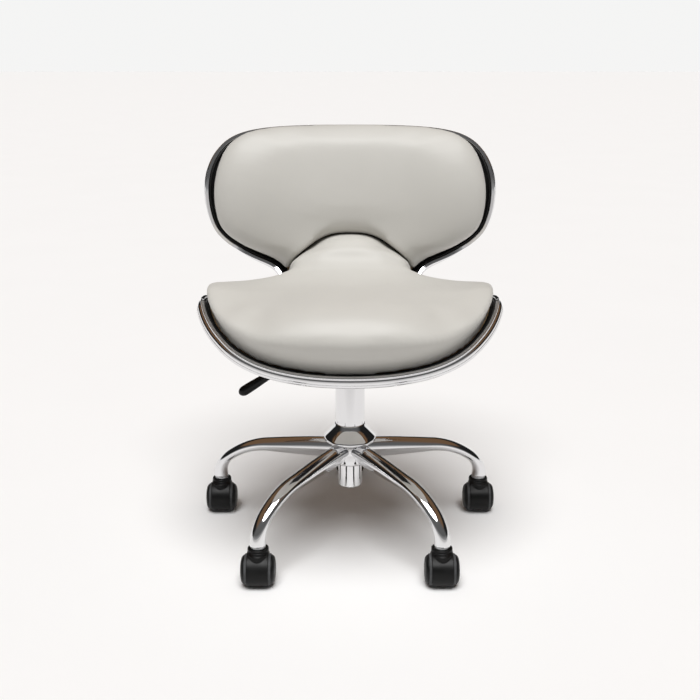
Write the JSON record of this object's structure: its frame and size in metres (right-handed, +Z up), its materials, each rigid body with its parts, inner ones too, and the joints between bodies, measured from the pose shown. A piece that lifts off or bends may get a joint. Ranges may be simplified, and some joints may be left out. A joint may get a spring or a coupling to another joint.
{
  "type": "rolling stylist stool",
  "caption": "Height-adjustable rolling stool with a one-piece hourglass seat and back shell, chrome five-leg base and hooded twin-wheel casters.",
  "frame": {"origin": "on the floor, under the swivel axis", "axes": "+Z up along the swivel axis, -Y to the front where the sitter faces, +X to the sitter's left"},
  "size_m": [0.523, 0.4988, 0.6889],
  "materials": {
    "chrome": "polished",
    "steel": "zinc plated",
    "black_nylon": "fine moulded",
    "black_paint": "satin",
    "grip_plastic": "gloss moulded",
    "plywood": "bare",
    "vinyl": "soft smooth vinyl",
    "black_welt": "satin"
  },
  "bodies": {
    "base": {"base_hub": "chrome", "stand_tube": "chrome", "guide_bush": "black_nylon", "bearing_washer": "steel", "leg_1": "chrome", "leg_2": "chrome", "leg_3": "chrome", "leg_4": "chrome", "leg_5": "chrome", "caster_stem_1": "steel", "caster_stem_2": "steel", "caster_stem_3": "steel", "caster_stem_4": "steel", "caster_stem_5": "steel"},
    "rod": {"piston_rod": "steel", "bearing_balls": "steel", "rod_clip": "steel", "piston": "black_nylon"},
    "seat": {"gas_cylinder": "black_paint", "seat_plate": "black_paint", "plate_bolts": "steel", "spacer_block": "plywood", "pivot_pin": "steel", "shell_core": "plywood", "rear_cover": "vinyl", "seat_pad": "vinyl", "back_pad": "vinyl", "edge_trim": "chrome", "edge_welt": "black_welt"},
    "lever": {"lever_rod": "steel", "lever_grip": "grip_plastic"},
    "valve": {"release_pin": "steel"},
    "caster_1": {"caster_hood_1": "black_nylon", "caster_axle_1": "steel"},
    "wheel_1_left": {"wheel_1_left": "black_nylon"},
    "wheel_1_right": {"wheel_1_right": "black_nylon"},
    "caster_2": {"caster_hood_2": "black_nylon", "caster_axle_2": "steel"},
    "wheel_2_left": {"wheel_2_left": "black_nylon"},
    "wheel_2_right": {"wheel_2_right": "black_nylon"},
    "caster_3": {"caster_hood_3": "black_nylon", "caster_axle_3": "steel"},
    "wheel_3_left": {"wheel_3_left": "black_nylon"},
    "wheel_3_right": {"wheel_3_right": "black_nylon"},
    "caster_4": {"caster_hood_4": "black_nylon", "caster_axle_4": "steel"},
    "wheel_4_left": {"wheel_4_left": "black_nylon"},
    "wheel_4_right": {"wheel_4_right": "black_nylon"},
    "caster_5": {"caster_hood_5": "black_nylon", "caster_axle_5": "steel"},
    "wheel_5_left": {"wheel_5_left": "black_nylon"},
    "wheel_5_right": {"wheel_5_right": "black_nylon"}
  },
  "joints": [
    {"name": "seat_swivel", "type": "hinge", "parent": "base", "child": "rod", "pos_m": [0, 0, 0.1], "axis": [0, 0, 1], "continuous": true},
    {"name": "seat_lift", "type": "slide", "parent": "rod", "child": "seat", "axis": [0, 0, 1], "range_m": [0, 0.12]},
    {"name": "lever_pull", "type": "hinge", "parent": "seat", "child": "lever", "pos_m": [-0.024, 0, 0.331], "axis": [0, 1, 0], "range_deg": [0, 7], "stiffness_Nm_per_rad": 4, "springref_deg": -3.44},
    {"name": "valve_press", "type": "slide", "parent": "seat", "child": "valve", "axis": [0, 0, -1], "range_m": [0, 0.0031]},
    {"name": "caster_1_swivel", "type": "hinge", "parent": "base", "child": "caster_1", "pos_m": [0.23396, 0.07602, 0.05], "axis": [0, 0, 1], "continuous": true},
    {"name": "wheel_1_left_spin", "type": "hinge", "parent": "caster_1", "child": "wheel_1_left", "pos_m": [0.23396, 0.06802, 0.025], "axis": [1, 0, 0], "continuous": true},
    {"name": "wheel_1_right_spin", "type": "hinge", "parent": "caster_1", "child": "wheel_1_right", "pos_m": [0.23396, 0.06802, 0.025], "axis": [1, 0, 0], "continuous": true},
    {"name": "caster_2_swivel", "type": "hinge", "parent": "base", "child": "caster_2", "pos_m": [0, 0.246, 0.05], "axis": [0, 0, 1], "continuous": true},
    {"name": "wheel_2_left_spin", "type": "hinge", "parent": "caster_2", "child": "wheel_2_left", "pos_m": [0, 0.238, 0.025], "axis": [1, 0, 0], "continuous": true},
    {"name": "wheel_2_right_spin", "type": "hinge", "parent": "caster_2", "child": "wheel_2_right", "pos_m": [0, 0.238, 0.025], "axis": [1, 0, 0], "continuous": true},
    {"name": "caster_3_swivel", "type": "hinge", "parent": "base", "child": "caster_3", "pos_m": [-0.23396, 0.07602, 0.05], "axis": [0, 0, 1], "continuous": true},
    {"name": "wheel_3_left_spin", "type": "hinge", "parent": "caster_3", "child": "wheel_3_left", "pos_m": [-0.23396, 0.06802, 0.025], "axis": [1, 0, 0], "continuous": true},
    {"name": "wheel_3_right_spin", "type": "hinge", "parent": "caster_3", "child": "wheel_3_right", "pos_m": [-0.23396, 0.06802, 0.025], "axis": [1, 0, 0], "continuous": true},
    {"name": "caster_4_swivel", "type": "hinge", "parent": "base", "child": "caster_4", "pos_m": [-0.1446, -0.19902, 0.05], "axis": [0, 0, 1], "continuous": true},
    {"name": "wheel_4_left_spin", "type": "hinge", "parent": "caster_4", "child": "wheel_4_left", "pos_m": [-0.1446, -0.20702, 0.025], "axis": [1, 0, 0], "continuous": true},
    {"name": "wheel_4_right_spin", "type": "hinge", "parent": "caster_4", "child": "wheel_4_right", "pos_m": [-0.1446, -0.20702, 0.025], "axis": [1, 0, 0], "continuous": true},
    {"name": "caster_5_swivel", "type": "hinge", "parent": "base", "child": "caster_5", "pos_m": [0.1446, -0.19902, 0.05], "axis": [0, 0, 1], "continuous": true},
    {"name": "wheel_5_left_spin", "type": "hinge", "parent": "caster_5", "child": "wheel_5_left", "pos_m": [0.1446, -0.20702, 0.025], "axis": [1, 0, 0], "continuous": true},
    {"name": "wheel_5_right_spin", "type": "hinge", "parent": "caster_5", "child": "wheel_5_right", "pos_m": [0.1446, -0.20702, 0.025], "axis": [1, 0, 0], "continuous": true}
  ],
  "couplings": [
    {"joint": "valve_press", "follows": "lever_pull", "m_per_rad": 0.024}
  ]
}
